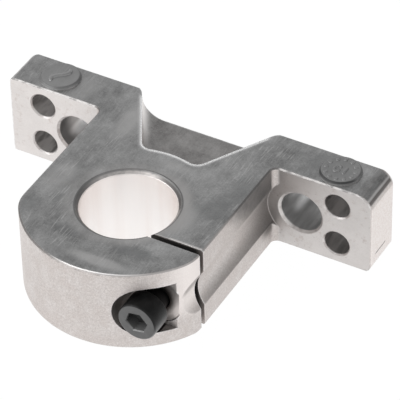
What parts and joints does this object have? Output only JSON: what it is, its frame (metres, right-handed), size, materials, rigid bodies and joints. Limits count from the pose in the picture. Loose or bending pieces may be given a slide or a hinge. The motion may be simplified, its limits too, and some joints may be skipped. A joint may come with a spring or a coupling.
{
  "type": "shaft support block",
  "caption": "Cast clamp block that grips a round shaft in a split bore, bolts to a face through two lugs and closes with one socket head screw.",
  "frame": {"origin": "on the shaft bore's axis, halfway up the casting", "axes": "+X along the two lugs towards the screw's side, +Y towards the mounting face, +Z along the shaft bore, up from the face that the block rests on"},
  "size_m": [0.085, 0.055, 0.0201],
  "materials": {
    "cast_aluminium": "tumbled die casting, grey flat faces, paler blasted sides, machined bore and lug fronts",
    "black_steel": "black oxide"
  },
  "bodies": {
    "block": {"clamp_block": "cast_aluminium"},
    "screw": {"clamp_screw": "black_steel"}
  },
  "joints": [
    {"name": "screw_travel", "type": "slide", "parent": "block", "child": "screw", "axis": [0, 1, 0], "range_m": [-0.006, 0.0035]}
  ]
}
